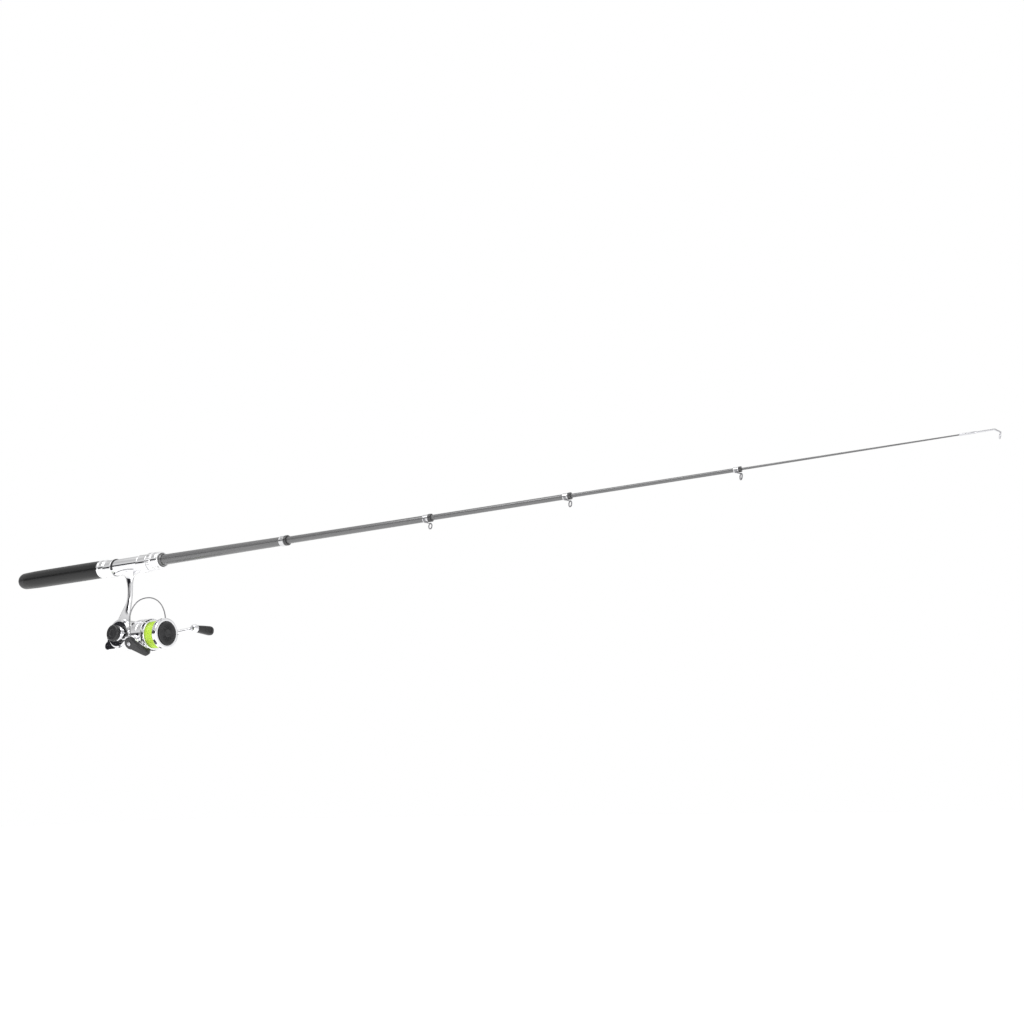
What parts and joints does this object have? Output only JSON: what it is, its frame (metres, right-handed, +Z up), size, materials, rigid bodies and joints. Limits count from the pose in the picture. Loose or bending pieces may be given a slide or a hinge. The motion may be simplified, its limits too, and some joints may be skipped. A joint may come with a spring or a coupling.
{
  "type": "telescopic fishing rod and reel",
  "caption": "Slim telescopic fishing rod with a black grip, a chrome reel seat and a small chrome fixed-spool reel wound with yellow-green line.",
  "frame": {"origin": "centre of the butt's flat end face, on the rod's axis", "axes": "+X along the rod from butt to tip, +Z up with the reel hanging below, +Y towards the crank's side"},
  "size_m": [0.9585, 0.1006, 0.1048],
  "materials": {
    "grip_black": "satin black foam-coated grip, fine grain",
    "black_plastic": "moulded black plastic, semi-gloss",
    "chrome_seat": "bright chrome plate on the reel seat",
    "chrome_reel": "bright chrome-look plating on the reel",
    "blank_grey": "satin graphite grey lacquer",
    "ring_silver": "polished aluminium rings",
    "winding_black": "black lacquered winding",
    "guide_steel": "dark polished steel wire",
    "steel": "machined steel",
    "brass_gear": "cut brass",
    "nylon": "natural nylon",
    "line_yellow": "fluorescent yellow-green monofilament",
    "felt": "drag felt"
  },
  "bodies": {
    "handle": {"butt_cap": "black_plastic", "grip": "grip_black", "handle_tube": "blank_grey", "seat_sleeve": "chrome_seat", "rear_collar": "chrome_seat", "fixed_hood": "chrome_seat", "seat_ring": "black_plastic", "front_ferrule": "blank_grey", "reel_foot": "chrome_reel", "gear_housing": "chrome_reel", "side_cover": "chrome_reel", "cover_screws": "steel", "shaft_bearings": "steel", "pinion_bearing": "steel"},
    "hood": {"sliding_hood": "chrome_seat"},
    "nut": {"lock_nut": "chrome_seat"},
    "rod_1": {"section_1": "blank_grey", "ferrule_1": "ring_silver", "winding_1": "winding_black"},
    "rod_2": {"section_2": "blank_grey", "ferrule_2": "ring_silver", "winding_2": "winding_black", "guide_1": "guide_steel"},
    "rod_3": {"section_3": "blank_grey", "ferrule_3": "ring_silver", "winding_3": "winding_black", "guide_2": "guide_steel"},
    "rod_4": {"section_4": "blank_grey", "ferrule_4": "ring_silver", "winding_4": "winding_black", "guide_3": "guide_steel"},
    "rod_tip": {"tip_rod": "blank_grey", "tip_top": "guide_steel"},
    "crank": {"drive_gear": "brass_gear", "crank_shaft": "steel", "crank_hub": "black_plastic", "crank_arm": "chrome_reel"},
    "knob": {"crank_knob": "black_plastic"},
    "oscillator": {"oscillation_gear": "nylon"},
    "shaft": {"main_shaft": "steel", "slider": "nylon"},
    "spool_body": {"spool": "chrome_reel", "line": "line_yellow", "drag_washers": "felt"},
    "drag": {"drag_knob": "black_plastic"},
    "rotor_body": {"pinion": "brass_gear", "ratchet_wheel": "steel", "rotor": "chrome_reel", "rotor_nut": "steel", "bail_screws": "steel"},
    "bail": {"bail_lever": "black_plastic", "bail_holder": "black_plastic", "bail_spring": "steel", "bail_wire": "guide_steel"},
    "roller": {"line_roller": "steel"},
    "catch": {"reverse_lever": "black_plastic"},
    "cap": {"shaft_cap": "black_plastic"}
  },
  "joints": [
    {"name": "section_1_slide", "type": "slide", "parent": "handle", "child": "rod_1", "axis": [1, 0, 0], "range_m": [-0.149, 0]},
    {"name": "section_2_slide", "type": "slide", "parent": "rod_1", "child": "rod_2", "axis": [1, 0, 0], "range_m": [-0.1465, 0]},
    {"name": "section_3_slide", "type": "slide", "parent": "rod_2", "child": "rod_3", "axis": [1, 0, 0], "range_m": [-0.1235, 0]},
    {"name": "section_4_slide", "type": "slide", "parent": "rod_3", "child": "rod_4", "axis": [1, 0, 0], "range_m": [-0.1325, 0]},
    {"name": "tip_slide", "type": "slide", "parent": "rod_4", "child": "rod_tip", "axis": [1, 0, 0], "range_m": [-0.1505, 0]},
    {"name": "hood_slide", "type": "slide", "parent": "handle", "child": "hood", "axis": [1, 0, 0], "range_m": [0, 0.0061]},
    {"name": "nut_turn", "type": "hinge", "parent": "hood", "child": "nut", "pos_m": [0.19, 0, 0], "axis": [1, 0, 0], "range_deg": [0, 1440]},
    {"name": "crank_turn", "type": "hinge", "parent": "handle", "child": "crank", "pos_m": [0.1555, 0, -0.0696], "axis": [0, 1, 0], "continuous": true},
    {"name": "knob_spin", "type": "hinge", "parent": "crank", "child": "knob", "pos_m": [0.2019, 0.05, -0.0622], "axis": [0, 1, 0], "continuous": true},
    {"name": "oscillator_spin", "type": "hinge", "parent": "handle", "child": "oscillator", "pos_m": [0.1485, 0, -0.0696], "axis": [0, 1, 0], "continuous": true},
    {"name": "rotor_spin", "type": "hinge", "parent": "handle", "child": "rotor_body", "pos_m": [0.18, 0, -0.073], "axis": [1, 0, 0], "continuous": true},
    {"name": "bail_swing", "type": "hinge", "parent": "rotor_body", "child": "bail", "pos_m": [0.184, 0, -0.073], "axis": [0, 0.8988, 0.4384], "range_deg": [0, 95]},
    {"name": "roller_spin", "type": "hinge", "parent": "bail", "child": "roller", "pos_m": [0.19532, -0.01228, -0.08717], "axis": [0, 0.8988, 0.4384], "continuous": true},
    {"name": "spool_stroke", "type": "slide", "parent": "handle", "child": "shaft", "axis": [1, 0, 0], "range_m": [-0.004, 0]},
    {"name": "spool_slip", "type": "hinge", "parent": "shaft", "child": "spool_body", "pos_m": [0.2, 0, -0.073], "axis": [1, 0, 0], "continuous": true},
    {"name": "drag_turn", "type": "hinge", "parent": "shaft", "child": "drag", "pos_m": [0.21, 0, -0.073], "axis": [1, 0, 0], "range_deg": [0, 720]},
    {"name": "catch_swing", "type": "hinge", "parent": "handle", "child": "catch", "pos_m": [0.1741, -0.0039, -0.06743], "axis": [1, 0, 0], "range_deg": [0, 10]},
    {"name": "cap_turn", "type": "hinge", "parent": "handle", "child": "cap", "pos_m": [0.1555, -0.014, -0.0696], "axis": [0, -1, 0], "range_deg": [0, 720]}
  ],
  "couplings": [
    {"joint": "hood_slide", "follows": "nut_turn", "m_per_rad": 0.00023873},
    {"joint": "oscillator_spin", "follows": "crank_turn", "ratio": -0.75},
    {"joint": "rotor_spin", "follows": "crank_turn", "ratio": -4}
  ]
}
